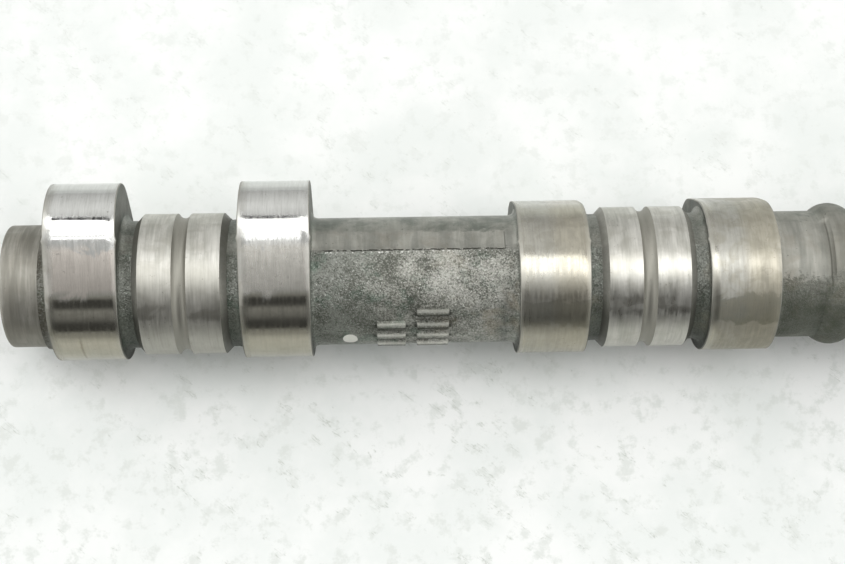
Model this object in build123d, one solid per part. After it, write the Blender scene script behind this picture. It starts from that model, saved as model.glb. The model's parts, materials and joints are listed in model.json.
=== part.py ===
"""Camshaft of an in-line four: one chilled iron casting, ground and turned where it works.

Frame: +X runs along the axis from the rear end to the drive end, the origin is the middle of the
first journal, and +Z is up with the shaft lying on the noses of its second and fourth lobe pairs.
Angles about the axis count from +Y towards +Z. All sizes are in millimetres and degrees.
"""
from build123d import *
from math import cos, hypot, radians, sqrt, tan
import os

# ---- driving dimensions: the row of cylinders -------------------------------------------------
CYLINDER_PITCH = 87.5
FIRING_ORDER = (1, 3, 4, 2)
FIRST_NOSE_ANGLE = 45.0
CORE_RADIUS = 12.2

# ---- driving dimensions: bearing journals -----------------------------------------------------
JOURNAL_RADIUS = 13.5
JOURNAL_LENGTH = 15.2
JOURNAL_BEVEL = 1.2
OIL_GROOVE_DEPTH = 0.9
OIL_GROOVE_FLOOR = 0.9

# ---- driving dimensions: cam lobes ------------------------------------------------------------
LOBE_OFFSET = 17.75
LOBE_WIDTH = 13.4
BASE_RADIUS = 14.4
LIFT = 6.2
NOSE_RADIUS = 10.2
FLANK_RADIUS = 90.0
FOOT_FILLET = 1.2

# ---- driving dimensions: what the mould leaves on the cast skin ---------------------------------
PARTING_ANGLE = 77.0
DRAFT_ANGLE = 0.8
FIN_HEIGHT = 0.2
FIN_THICKNESS = 0.6
BAR_HEIGHT = 0.9
BAR_WIDTH = 1.2
BAR_SIDE_ANGLE = 75.0
BAR_PITCH_ANGLE = 13.5
BAR_LAST_ANGLE = 174.5
BARS_AFTER_CYLINDER = 1
BARS_IN_GROUP = (3, 4)
BAR_LENGTH = (5.2, 5.8)
BAR_GROUP_POSITION = (39.2, 47.0)
RING_AFTER_CYLINDER = 2
RING_POSITION = 36.6
RING_WIDTH = 6.9
RING_HEIGHT = 1.45

# ---- driving dimensions: rear end ---------------------------------------------------------------
REAR_SHOULDER = 1.7
REAR_STUB_RADIUS = 11.7
REAR_STUB_LENGTH = 7.2
CENTRE_HOLE_RADIUS = 2.0
CENTRE_HOLE_DEPTH = 5.0
CENTRE_MOUTH_RADIUS = 4.25

# ---- driving dimensions: drive end --------------------------------------------------------------
FRONT_NECK_LENGTH = 12.0
THRUST_COLLAR_RADIUS = 17.0
THRUST_COLLAR_WIDTH = 6.0
FRONT_JOURNAL_RADIUS = 15.0
FRONT_JOURNAL_LENGTH = 34.0
SEAL_LAND_RADIUS = 14.5
SEAL_LAND_LENGTH = 18.0
SPROCKET_SEAT_RADIUS = 12.5
SPROCKET_SEAT_LENGTH = 22.0
BOLT_HOLE_RADIUS = 4.25
BOLT_HOLE_DEPTH = 19.0
BOLT_MOUTH_RADIUS = 5.3
EDGE_BREAK = 0.6
JOURNAL_EDGE = 0.4
DRILL_POINT_ANGLE = 59.0

# ---- sizes that follow from them ----------------------------------------------------------------
CYLINDERS = len(FIRING_ORDER)
CRANK_STEP = 360.0 / CYLINDERS
OVERLAP = 1.0
FOOT_SINK = 0.05
NOSE_REACH = BASE_RADIUS + LIFT
LAST_STATION = CYLINDER_PITCH * (CYLINDERS - 1)
LOBE_OUTER = LOBE_OFFSET + LOBE_WIDTH / 2
LOBE_INNER = LOBE_OFFSET - LOBE_WIDTH / 2
REAR_SHOULDER_X = -LOBE_OUTER - REAR_SHOULDER
REAR_END_X = REAR_SHOULDER_X - REAR_STUB_LENGTH
THRUST_COLLAR_X = LAST_STATION + LOBE_OUTER + FRONT_NECK_LENGTH
FRONT_JOURNAL_X = THRUST_COLLAR_X + THRUST_COLLAR_WIDTH
SEAL_LAND_X = FRONT_JOURNAL_X + FRONT_JOURNAL_LENGTH
SPROCKET_SEAT_X = SEAL_LAND_X + SEAL_LAND_LENGTH
DRIVE_END_X = SPROCKET_SEAT_X + SPROCKET_SEAT_LENGTH


def station(cylinder):
    """Place on the axis of a cylinder's journal, counting cylinders from 1."""
    return CYLINDER_PITCH * (cylinder - 1)


def nose_angle(cylinder):
    """Direction of a cylinder's two noses, from its turn in the firing order."""
    return FIRST_NOSE_ANGLE + CRANK_STEP * FIRING_ORDER.index(cylinder)


def turned(start, end, radius, start_bevel=0.0, end_bevel=0.0):
    """A turned length of shaft with 45 degree bevels that fall outwards from its two edges."""
    outline = [
        (start, 0),
        (start, radius - start_bevel),
        (start + start_bevel, radius),
        (end - end_bevel, radius),
        (end, radius - end_bevel),
        (end, 0),
    ]
    corners = list(dict.fromkeys(outline))
    return revolve(Plane.XZ * make_face(Polyline(*corners, close=True)), Axis.X)


def drilled(mouth_x, direction, radius, depth, mouth_radius):
    """A drilled hole on the axis with a 60 degree mouth and a drill point, as the tool leaves it."""
    mouth_depth = (mouth_radius - radius) / tan(radians(30))
    point_depth = radius / tan(radians(DRILL_POINT_ANGLE))
    corners = [
        (-OVERLAP, 0),
        (-OVERLAP, mouth_radius),
        (0, mouth_radius),
        (mouth_depth, radius),
        (depth, radius),
        (depth + point_depth, 0),
    ]
    outline = [(mouth_x + direction * x, r) for x, r in corners]
    return revolve(Plane.XZ * make_face(Polyline(*outline, close=True)), Axis.X)


# ---- cast core ------------------------------------------------------------------------------------
def core():
    """The plain cast bar from the rear shoulder to the thrust collar."""
    return turned(REAR_SHOULDER_X, THRUST_COLLAR_X + OVERLAP, CORE_RADIUS)


def seam(start, end):
    """The low fin that the mould's parting plane leaves along both sides of the bar."""
    fin = Box(end - start, 2 * (CORE_RADIUS + FIN_HEIGHT), FIN_THICKNESS)
    return Pos((start + end) / 2, 0, 0) * Rot(PARTING_ANGLE, 0, 0) * fin


def seams():
    """The fins on the bar between one cylinder's lobes and the next cylinder's."""
    gaps = [(station(c) + LOBE_OUTER, station(c + 1) - LOBE_OUTER) for c in range(1, CYLINDERS)]
    return [seam(start - OVERLAP, end + OVERLAP) for start, end in gaps]


def foundry_bars():
    """Two groups of plain raised bars along the axis, where a foundry puts its casting marks."""
    bars = []
    taper = 90 - BAR_SIDE_ANGLE
    spread = 2 * BAR_HEIGHT * 2 * tan(radians(taper))
    for position, length, count in zip(BAR_GROUP_POSITION, BAR_LENGTH, BARS_IN_GROUP):
        root = Pos(station(BARS_AFTER_CYLINDER) + position, 0, CORE_RADIUS - BAR_HEIGHT) * Rectangle(
            length + spread, BAR_WIDTH + spread
        )
        bar = extrude(root, 2 * BAR_HEIGHT, taper=taper)
        bars += [Rot(BAR_LAST_ANGLE - i * BAR_PITCH_ANGLE - 90, 0, 0) * bar for i in range(count)]
    return bars


def cast_ring():
    """The rounded ring that stands on the bar after the second cylinder's lobes."""
    middle = station(RING_AFTER_CYLINDER) + RING_POSITION
    half = RING_WIDTH / 2
    crown = ThreePointArc(
        (middle - half, CORE_RADIUS), (middle, CORE_RADIUS + RING_HEIGHT), (middle + half, CORE_RADIUS)
    )
    foot = Polyline(
        (middle + half, CORE_RADIUS),
        (middle + half, CORE_RADIUS - OVERLAP),
        (middle - half, CORE_RADIUS - OVERLAP),
        (middle - half, CORE_RADIUS),
    )
    return revolve(Plane.XZ * make_face(crown + foot), Axis.X)


# ---- cam lobes --------------------------------------------------------------------------------------
def cam_section():
    """Base circle, two convex flanks and a nose, each tangent to the next, nose towards +X."""
    nose_centre = NOSE_REACH - NOSE_RADIUS
    to_base = FLANK_RADIUS - BASE_RADIUS
    to_nose = FLANK_RADIUS - NOSE_RADIUS
    flank_x = (to_base**2 - to_nose**2 + nose_centre**2) / (2 * nose_centre)
    flank_y = -sqrt(to_base**2 - flank_x**2)

    def on_flank(x, y):
        reach = hypot(x - flank_x, y - flank_y)
        return (
            flank_x + (x - flank_x) / reach * FLANK_RADIUS,
            flank_y + (y - flank_y) / reach * FLANK_RADIUS,
        )

    base_end = on_flank(0, 0)
    nose_end = on_flank(nose_centre, 0)
    flank_middle = on_flank((base_end[0] + nose_end[0]) / 2, (base_end[1] + nose_end[1]) / 2)
    flank = ThreePointArc(base_end, flank_middle, nose_end)
    nose = ThreePointArc(nose_end, (NOSE_REACH, 0), (nose_end[0], -nose_end[1]))
    base = ThreePointArc(base_end, (-BASE_RADIUS, 0), (base_end[0], -base_end[1]))
    return make_face(flank + nose + mirror(flank, about=Plane.XZ) + base)


def mould_block(width):
    """What the two halves of the mould leave of a lobe: drafted sides and a fin where they meet."""
    half = width / 2
    draft = NOSE_REACH * tan(radians(DRAFT_ANGLE))
    side = [
        (half - draft, NOSE_REACH),
        (half, FIN_THICKNESS / 2),
        (half + FIN_HEIGHT, 0),
        (half, -FIN_THICKNESS / 2),
        (half - draft, -NOSE_REACH),
    ]
    far_side = [(-x, y) for x, y in reversed(side)]
    block = extrude(Plane.XZ * make_face(Polyline(*side, *far_side, close=True)), NOSE_REACH, both=True)
    return Rot(PARTING_ANGLE, 0, 0) * block


def lobe(x, angle):
    """One lobe: the ground cam outline, kept within the cast sides of the mould."""
    ground = extrude(Plane.YZ * Rot(0, 0, angle) * cam_section(), LOBE_WIDTH, both=True)
    return Pos(x, 0, 0) * (ground & mould_block(LOBE_WIDTH))


def foot(x, direction):
    """The cast fillet where a lobe's side runs into the bar; direction points along the bar."""
    top = CORE_RADIUS + FOOT_FILLET
    edge = x + direction * FOOT_FILLET
    bend = FOOT_FILLET * (1 - cos(radians(45)))
    fillet = ThreePointArc((x, top), (x + direction * bend, CORE_RADIUS + bend), (edge, CORE_RADIUS))
    back = Polyline(
        (edge, CORE_RADIUS),
        (edge, CORE_RADIUS - OVERLAP),
        (x - direction * OVERLAP, CORE_RADIUS - OVERLAP),
        (x - direction * OVERLAP, top),
        (x, top),
    )
    return revolve(Plane.XZ * make_face(fillet + back), Axis.X)


def lobe_pair(cylinder):
    """The two lobes of one cylinder, one on each side of its journal, with their feet."""
    middle = station(cylinder)
    angle = nose_angle(cylinder)
    lobes = [lobe(middle + side * LOBE_OFFSET, angle) for side in (-1, 1)]
    sink = FOOT_SINK + (CORE_RADIUS + FOOT_FILLET) * tan(radians(DRAFT_ANGLE))
    feet = [foot(middle + side * (LOBE_OUTER - sink), side) for side in (-1, 1)]
    feet += [foot(middle + side * (LOBE_INNER + sink), -side) for side in (-1, 1)]
    return lobes + feet


# ---- journals ---------------------------------------------------------------------------------------
def journal(cylinder):
    """A ground journal whose bevels fall to the bar, before its groove is cut."""
    middle = station(cylinder)
    reach = JOURNAL_LENGTH / 2 + JOURNAL_BEVEL
    return turned(middle - reach, middle + reach, JOURNAL_RADIUS, JOURNAL_BEVEL, JOURNAL_BEVEL)


def oil_groove(cylinder):
    """The ring to cut round a journal's middle: a flat floor and 45 degree sides."""
    middle = station(cylinder)
    floor_radius = JOURNAL_RADIUS - OIL_GROOVE_DEPTH
    mouth_radius = JOURNAL_RADIUS + OVERLAP
    half_floor = OIL_GROOVE_FLOOR / 2
    half_mouth = half_floor + OIL_GROOVE_DEPTH + OVERLAP
    section = Polyline(
        (middle - half_floor, floor_radius),
        (middle - half_mouth, mouth_radius),
        (middle + half_mouth, mouth_radius),
        (middle + half_floor, floor_radius),
        close=True,
    )
    return revolve(Plane.XZ * make_face(section), Axis.X)


# ---- ends -------------------------------------------------------------------------------------------
def rear_stub():
    """The short turned stub behind the first lobe."""
    return turned(REAR_END_X, REAR_SHOULDER_X + OVERLAP, REAR_STUB_RADIUS, start_bevel=EDGE_BREAK)


def drive_end():
    """The thrust collar, then the front journal, the seal land and the sprocket seat in steps."""
    collar = turned(THRUST_COLLAR_X, FRONT_JOURNAL_X, THRUST_COLLAR_RADIUS, EDGE_BREAK, EDGE_BREAK)
    journal_start = FRONT_JOURNAL_X - OVERLAP
    front_journal = turned(journal_start, SEAL_LAND_X, FRONT_JOURNAL_RADIUS, end_bevel=JOURNAL_EDGE)
    land_start = SEAL_LAND_X - OVERLAP
    seal_land = turned(land_start, SPROCKET_SEAT_X, SEAL_LAND_RADIUS, end_bevel=EDGE_BREAK)
    seat_start = SPROCKET_SEAT_X - OVERLAP
    sprocket_seat = turned(seat_start, DRIVE_END_X, SPROCKET_SEAT_RADIUS, end_bevel=EDGE_BREAK)
    return [collar, front_journal, seal_land, sprocket_seat]


def end_holes():
    """The lathe's centre in the rear end and the sprocket's bolt hole in the drive end."""
    centre = drilled(REAR_END_X, 1, CENTRE_HOLE_RADIUS, CENTRE_HOLE_DEPTH, CENTRE_MOUTH_RADIUS)
    bolt = drilled(DRIVE_END_X, -1, BOLT_HOLE_RADIUS, BOLT_HOLE_DEPTH, BOLT_MOUTH_RADIUS)
    return [centre, bolt]


def camshaft():
    """The whole shaft as one solid."""
    cylinders = range(1, CYLINDERS + 1)
    shaft = core() + rear_stub() + drive_end() + [journal(c) for c in cylinders]
    shaft += seams()
    shaft += foundry_bars() + [cast_ring()]
    for c in cylinders:
        shaft += lobe_pair(c)
    return shaft - [oil_groove(c) for c in cylinders] - end_holes()


os.makedirs("parts", exist_ok=True)
export_step(camshaft(), "parts/camshaft.step")
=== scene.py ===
"""Camshaft of an in-line four: cast skin, ground lobes and journals, and turned ends."""
import json
import math

import bpy
import numpy as np
from mathutils import Matrix, Vector, noise


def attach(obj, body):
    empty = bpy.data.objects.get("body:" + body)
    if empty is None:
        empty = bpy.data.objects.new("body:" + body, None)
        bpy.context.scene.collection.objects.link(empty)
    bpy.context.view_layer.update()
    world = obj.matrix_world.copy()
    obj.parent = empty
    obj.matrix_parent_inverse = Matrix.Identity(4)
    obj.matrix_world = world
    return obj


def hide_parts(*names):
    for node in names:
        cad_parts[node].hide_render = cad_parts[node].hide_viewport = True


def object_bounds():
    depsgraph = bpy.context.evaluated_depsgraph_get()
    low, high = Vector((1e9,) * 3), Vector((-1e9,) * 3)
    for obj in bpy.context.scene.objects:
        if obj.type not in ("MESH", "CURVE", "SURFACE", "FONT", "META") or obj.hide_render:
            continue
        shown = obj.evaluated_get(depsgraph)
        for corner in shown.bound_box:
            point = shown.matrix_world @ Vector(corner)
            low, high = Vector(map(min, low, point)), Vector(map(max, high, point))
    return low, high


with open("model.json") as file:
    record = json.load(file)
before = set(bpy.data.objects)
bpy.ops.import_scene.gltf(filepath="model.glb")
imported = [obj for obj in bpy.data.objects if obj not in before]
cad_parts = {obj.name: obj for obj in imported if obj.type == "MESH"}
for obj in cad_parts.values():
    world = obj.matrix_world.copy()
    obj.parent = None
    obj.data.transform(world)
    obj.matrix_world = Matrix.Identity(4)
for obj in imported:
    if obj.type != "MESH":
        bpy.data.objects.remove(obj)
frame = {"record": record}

CAD_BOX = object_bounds()
MM = 0.001

# ---- the shaft's sizes, in millimetres along and around its axis ----
MOUNTS = {mount["name"]: mount for mount in frame["record"]["mounts"]}
STATIONS = [MOUNTS[name]["pos_m"][0] / MM for name in ("journal_1", "journal_2", "journal_3", "journal_4")]
JOURNAL_RADIUS = MOUNTS["journal_1"]["dims"]["r_mm"]
JOURNAL_LENGTH = MOUNTS["journal_1"]["dims"]["length_mm"]
JOURNAL_BEVEL = 1.2
GROOVE_DEPTH = 0.9
GROOVE_HALF_MOUTH = 1.35
CORE_RADIUS = 12.2

NOSE_ANGLES = (45.0, 315.0, 135.0, 225.0)
LOBE_OFFSET = 17.75
LOBE_WIDTH = 13.4
LOBE_REACH = LOBE_OFFSET + LOBE_WIDTH / 2
BASE_RADIUS = 14.4
LIFT = 6.2
NOSE_RADIUS = 10.2
FLANK_RADIUS = 90.0
FOOT_FILLET = 1.2
LOBE_EDGE = 0.18

PARTING_ANGLE = 77.0
DRAFT_ANGLE = 0.8
FIN_HEIGHT = 0.2
FIN_THICKNESS = 0.6
FILED_MIDDLE, FILED_HALF_WIDTH = 66.0, 11.0

BAR_HEIGHT = 0.9
BAR_HALF_WIDTH = 0.6
BAR_TAPER = 0.24
BAR_ANGLES = (174.5, 161.0, 147.5, 134.0)
BAR_GROUPS = ((39.2, 2.6, 3), (47.0, 2.9, 4))

NECK = (STATIONS[1] + LOBE_REACH, STATIONS[2] - LOBE_REACH)
RING_MIDDLE = STATIONS[1] + 36.6
RING_WIDTH = 6.9
RING_HEIGHT = 1.45

REAR_SHOULDER = 1.7
STUB_RADIUS = MOUNTS["rear_stub"]["dims"]["r_mm"]
STUB_LENGTH = 7.2
CENTRE_RADIUS, CENTRE_DEPTH, CENTRE_MOUTH = 2.0, 5.0, 4.25
FRONT_NECK = 12.0
COLLAR_RADIUS, COLLAR_WIDTH = 17.0, 6.0
FRONT_JOURNAL_RADIUS, FRONT_JOURNAL_LENGTH, FRONT_JOURNAL_EDGE = 15.0, 34.0, 0.4
SEAL_RADIUS, SEAL_LENGTH = 14.5, 18.0
SEAT_RADIUS, SEAT_LENGTH = 12.5, 22.0
BOLT_RADIUS, BOLT_DEPTH, BOLT_MOUTH = 4.25, 19.0, 5.3
EDGE_BREAK = 0.6
MOUTH_HALF_ANGLE = 30.0
DRILL_POINT_ANGLE = 59.0

# ---- mesh fineness ----
STEPS = {
    "cast": 1.0,
    "cast_side": 1.6,
    "ground_lobe": 2.2,
    "ground_journal": 2.2,
    "turned": 4.0,
    "edge": 0.6,
}


def column_angles():
    """Even columns round the axis from the parting plane, and closer ones at the raised bars' edges."""
    even = (PARTING_ANGLE + np.arange(180) * 2.0) % 360
    top = math.degrees(BAR_HALF_WIDTH / (CORE_RADIUS + BAR_HEIGHT))
    root = math.degrees((BAR_HALF_WIDTH + BAR_TAPER) / CORE_RADIUS)
    halves = [side * half for side in (-1, 1) for half in (top, root)]
    edges = np.array([angle + half for angle in BAR_ANGLES for half in halves])
    clear = np.abs(even[:, None] - edges).min(axis=1) > 0.7
    return np.radians(np.sort(np.concatenate([even[clear], edges])))


ANGLES = column_angles()
COLUMNS = len(ANGLES)


# ---- outlines ----
def turn_from(angle):
    """How far each column lies round from an angle in degrees, between -pi and pi."""
    return (ANGLES - np.radians(angle) + np.pi) % (2 * np.pi) - np.pi


def cam_radius(nose):
    """Radius of the ground cam outline in every column, with its nose at this angle."""
    nose_centre = BASE_RADIUS + LIFT - NOSE_RADIUS
    to_base, to_nose = FLANK_RADIUS - BASE_RADIUS, FLANK_RADIUS - NOSE_RADIUS
    flank_x = (to_base**2 - to_nose**2 + nose_centre**2) / (2 * nose_centre)
    flank_y = -math.sqrt(to_base**2 - flank_x**2)
    base_end = math.atan2(-flank_y, -flank_x)
    reach = math.hypot(nose_centre - flank_x, flank_y)
    nose_end = math.atan2(
        flank_y - flank_y / reach * FLANK_RADIUS, flank_x + (nose_centre - flank_x) / reach * FLANK_RADIUS
    )
    turn = np.abs(turn_from(nose))

    def circle(x, y, radius):
        along = x * np.cos(turn) + y * np.sin(turn)
        return along + np.sqrt(np.maximum(radius**2 - x**2 - y**2 + along**2, 0))

    outline = np.full(COLUMNS, BASE_RADIUS)
    outline = np.where(turn < base_end, circle(flank_x, flank_y, FLANK_RADIUS), outline)
    return np.where(turn < nose_end, circle(nose_centre, 0.0, NOSE_RADIUS), outline)


def lobe_side(middle, side, radius):
    """Place along the axis of a lobe's cast side: drafted both ways from the seam, with its fin."""
    height = np.abs(radius * np.sin(turn_from(PARTING_ANGLE)))
    fin = FIN_HEIGHT * np.clip(1 - height / FIN_THICKNESS, 0, 1)
    return middle + side * (LOBE_WIDTH / 2 - height * math.tan(math.radians(DRAFT_ANGLE)) + fin)


# ---- the skin: rings of points from the rear end to the drive end ----
class Skin:
    """Rings of points round the axis. Each ring closes a band that runs from the ring before it."""

    def __init__(self):
        self.x, self.r, self.zone = [], [], []

    def ring(self, zone, x, r):
        self.x.append(np.zeros(COLUMNS) + x)
        self.r.append(np.zeros(COLUMNS) + r)
        self.zone.append(zone)

    def to(self, zone, x, r, step=None):
        """Rings from the last one to this place and radius, in even steps that suit the zone."""
        from_x, from_r = self.x[-1], self.r[-1]
        length = np.hypot(x - from_x, r - from_r).max()
        count = max(1, math.ceil(length / (step or STEPS[zone]) - 1e-6))
        for i in range(1, count + 1):
            share = i / count
            self.ring(zone, from_x + (x - from_x) * share, from_r + (r - from_r) * share)

    def arc(self, zone, x, r, radius, start, end, count):
        """Rings along an arc about (x, r); angles in degrees, from +X towards the outside."""
        for i in range(1, count + 1):
            a = math.radians(start + (end - start) * i / count)
            self.ring(zone, x + radius * math.cos(a), r + radius * math.sin(a))


def hole_walls(mouth_x, direction, radius, depth, mouth):
    """Points from a drilled hole's tip to its mouth; direction is the way that it goes in."""
    mouth_depth = (mouth - radius) / math.tan(math.radians(MOUTH_HALF_ANGLE))
    point = radius / math.tan(math.radians(DRILL_POINT_ANGLE))
    return [
        (mouth_x + direction * (depth + point), 0.02),
        (mouth_x + direction * depth, radius),
        (mouth_x + direction * mouth_depth, radius),
        (mouth_x, mouth),
    ]


def add_rear(skin, end_x):
    """The lathe centre, the end face and the turned stub, up to the cast shoulder."""
    walls = hole_walls(end_x, 1, CENTRE_RADIUS, CENTRE_DEPTH, CENTRE_MOUTH)
    skin.ring("turned", *walls[0])
    for x, r in walls[1:]:
        skin.to("turned", x, r)
    skin.to("turned", end_x, STUB_RADIUS - EDGE_BREAK)
    skin.arc("turned", end_x + EDGE_BREAK, STUB_RADIUS - EDGE_BREAK, EDGE_BREAK, 180, 90, 4)
    skin.to("turned", end_x + STUB_LENGTH, STUB_RADIUS)
    skin.to("cast", end_x + STUB_LENGTH, CORE_RADIUS)


def add_lobe(skin, middle, nose):
    """One lobe with its two cast feet; the ring before it is on the bar."""
    outline = cam_radius(nose)
    inner = outline - LOBE_EDGE
    edge_arc = [math.radians(a) for a in (30, 60, 90)]
    foot, foot_top = LOBE_WIDTH / 2 - 0.2, CORE_RADIUS + FOOT_FILLET
    skin.to("cast", middle - foot - FOOT_FILLET, CORE_RADIUS)
    skin.arc("cast", middle - foot - FOOT_FILLET, foot_top, FOOT_FILLET, -90, 0, 3)
    left, right = lobe_side(middle, -1, inner), lobe_side(middle, 1, inner)
    skin.to("cast_side", left, inner)
    for a in edge_arc:
        skin.ring("edge", left + LOBE_EDGE * (1 - math.cos(a)), inner + LOBE_EDGE * math.sin(a))
    skin.to("ground_lobe", right - LOBE_EDGE, outline)
    for a in edge_arc:
        skin.ring("edge", right - LOBE_EDGE * (1 - math.sin(a)), inner + LOBE_EDGE * math.cos(a))
    skin.to("cast_side", middle + foot, foot_top)
    skin.arc("cast", middle + foot + FOOT_FILLET, foot_top, FOOT_FILLET, 180, 270, 3)


def add_journal(skin, middle):
    """A ground journal with bevelled ends and its round-bottomed oil groove."""
    half = JOURNAL_LENGTH / 2
    skin.to("cast", middle - half - JOURNAL_BEVEL, CORE_RADIUS)
    skin.to("edge", middle - half, JOURNAL_RADIUS)
    skin.to("ground_journal", middle - GROOVE_HALF_MOUTH, JOURNAL_RADIUS)
    for share in np.linspace(-1, 1, 9)[1:]:
        dip = GROOVE_DEPTH * (1 - abs(share) ** 2.4)
        skin.ring("groove", middle + GROOVE_HALF_MOUTH * share, JOURNAL_RADIUS - dip)
    skin.to("ground_journal", middle + half, JOURNAL_RADIUS)
    skin.to("edge", middle + half + JOURNAL_BEVEL, JOURNAL_RADIUS - JOURNAL_BEVEL)
    skin.to("cast", middle + half + JOURNAL_BEVEL, CORE_RADIUS)


def add_ring(skin):
    """The rounded cast ring after the second cylinder."""
    radius = (RING_WIDTH**2 / 4 + RING_HEIGHT**2) / (2 * RING_HEIGHT)
    half_angle = math.degrees(math.asin(RING_WIDTH / 2 / radius))
    skin.to("cast", RING_MIDDLE - RING_WIDTH / 2, CORE_RADIUS)
    centre = CORE_RADIUS + RING_HEIGHT - radius
    skin.arc("cast", RING_MIDDLE, centre, radius, 90 + half_angle, 90 - half_angle, 20)


def add_marked_bar(skin, end):
    """The bar after the first cylinder, with rings at the ends of its raised bars."""
    ends = [
        STATIONS[0] + middle + side * half
        for middle, length, _ in BAR_GROUPS
        for side in (-1, 1)
        for half in (length, length + BAR_TAPER)
    ]
    for x in sorted(ends):
        skin.to("cast", x, CORE_RADIUS)
    skin.to("cast", end, CORE_RADIUS)


def add_drive_end(skin, start):
    """Thrust collar, front journal, seal land, sprocket seat and the bolt hole."""
    collar_x = start + FRONT_NECK
    journal_x = collar_x + COLLAR_WIDTH
    seal_x = journal_x + FRONT_JOURNAL_LENGTH
    seat_x = seal_x + SEAL_LENGTH
    end_x = seat_x + SEAT_LENGTH
    skin.to("cast", collar_x, CORE_RADIUS)
    skin.to("turned", collar_x, COLLAR_RADIUS - EDGE_BREAK)
    skin.to("turned", collar_x + EDGE_BREAK, COLLAR_RADIUS)
    skin.to("turned", journal_x - EDGE_BREAK, COLLAR_RADIUS)
    skin.to("turned", journal_x, COLLAR_RADIUS - EDGE_BREAK)
    skin.to("turned", journal_x, FRONT_JOURNAL_RADIUS)
    skin.to("ground_journal", seal_x - FRONT_JOURNAL_EDGE, FRONT_JOURNAL_RADIUS, STEPS["turned"])
    skin.to("turned", seal_x, FRONT_JOURNAL_RADIUS - FRONT_JOURNAL_EDGE)
    skin.to("turned", seal_x, SEAL_RADIUS)
    skin.to("ground_journal", seat_x - EDGE_BREAK, SEAL_RADIUS, STEPS["turned"])
    skin.to("turned", seat_x, SEAL_RADIUS - EDGE_BREAK)
    skin.to("turned", seat_x, SEAT_RADIUS)
    skin.to("turned", end_x - EDGE_BREAK, SEAT_RADIUS)
    skin.to("turned", end_x, SEAT_RADIUS - EDGE_BREAK)
    for x, r in reversed(hole_walls(end_x, -1, BOLT_RADIUS, BOLT_DEPTH, BOLT_MOUTH)):
        skin.to("turned", x, r)


def shaft_skin():
    """All the rings, from the bottom of the rear centre to the bottom of the bolt hole."""
    skin = Skin()
    add_rear(skin, STATIONS[0] - LOBE_REACH - REAR_SHOULDER - STUB_LENGTH)
    for cylinder, (middle, nose) in enumerate(zip(STATIONS, NOSE_ANGLES)):
        add_lobe(skin, middle - LOBE_OFFSET, nose)
        add_journal(skin, middle)
        add_lobe(skin, middle + LOBE_OFFSET, nose)
        if cylinder == 0:
            add_marked_bar(skin, STATIONS[1] - LOBE_REACH - 2 * FOOT_FILLET)
        if cylinder == 1:
            add_ring(skin)
    add_drive_end(skin, STATIONS[-1] + LOBE_REACH)
    return skin


# ---- relief on the cast skin ----
SAND_LUMPS = ((0.045, 1.7), (0.035, 0.75))
SIDE_LUMPS = ((0.05, 2.2), (0.03, 0.9))
FIN_LUMPS = ((0.9, 0.9),)
MARKED_MARGIN = 2.0
FOOT_STEP, FOOT_TURNS, FOOT_MIDDLE, FOOT_FADE = 1.5, (46, 116), 81, (26, 35)
NICK_X = STATIONS[0] - LOBE_OFFSET + LOBE_WIDTH / 2
NICK_ANGLE, NICK_DEPTH, NICK_WIDTH, NICK_TURN = 78.5, 0.35, 0.2, 1.1


def ramp(value, start, end):
    """0 before start, 1 after end, and a smooth rise between; start may be the larger."""
    share = np.clip((value - start) / (end - start), 0, 1)
    return share * share * (3 - 2 * share)


def raised_bars(x):
    """Height of the two groups of plain raised bars at every point of rings that stand at x."""
    height = 0.0
    for middle, length, count in BAR_GROUPS:
        along = np.clip((length + BAR_TAPER - np.abs(x - STATIONS[0] - middle)) / BAR_TAPER, 0, 1)
        for angle in BAR_ANGLES[:count]:
            turn = np.abs(turn_from(angle))
            top = BAR_HALF_WIDTH / (CORE_RADIUS + BAR_HEIGHT)
            root = (BAR_HALF_WIDTH + BAR_TAPER) / CORE_RADIUS
            height = height + along * np.clip((root - turn) / (root - top), 0, 1)
    return BAR_HEIGHT * height


def bar_sides(x):
    """-1 to 1 over each raised bar's two flanks, from the one turned up to the one turned down."""
    side = 0.0
    for middle, length, count in BAR_GROUPS:
        along = np.clip((length + 2 * BAR_TAPER - np.abs(x - STATIONS[0] - middle)) / BAR_TAPER, 0, 1)
        for angle in BAR_ANGLES[:count]:
            offset = CORE_RADIUS * (ANGLES - math.radians(angle))
            reach = np.clip(2.2 - np.abs(np.abs(offset) - BAR_HALF_WIDTH) / 0.25, 0, 1)
            side = side + along * reach * np.sign(offset)
    return side


def seam_fins():
    """Height of the fin that the mould's parting leaves along both sides of the bar."""
    return FIN_HEIGHT * sum(
        np.clip(1.1 - CORE_RADIUS * np.abs(turn_from(PARTING_ANGLE + half)) / FIN_THICKNESS, 0, 1)
        for half in (0, 180)
    )


def filed_flat():
    """How far the strip beside the seam is filed down, as a chord across the round bar."""
    turn = turn_from(FILED_MIDDLE)
    chord = CORE_RADIUS * math.cos(math.radians(FILED_HALF_WIDTH)) / np.cos(turn)
    return np.where(np.degrees(np.abs(turn)) < FILED_HALF_WIDTH, CORE_RADIUS - chord, 0.0)


def lumps(points, octaves):
    """Height of seeded soft lumps at every point, from (height, size) pairs in millimetres."""
    height = np.zeros(len(points))
    for amount, size in octaves:
        places = (points / size).tolist()
        height += amount * np.array([noise.noise(place) for place in places])
    return height


def sand_side():
    """1 in the columns that lay in the sand half of the mould, 0 in the smoother half."""
    return ramp(np.sin(turn_from(PARTING_ANGLE)), -0.02, 0.05)


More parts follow.
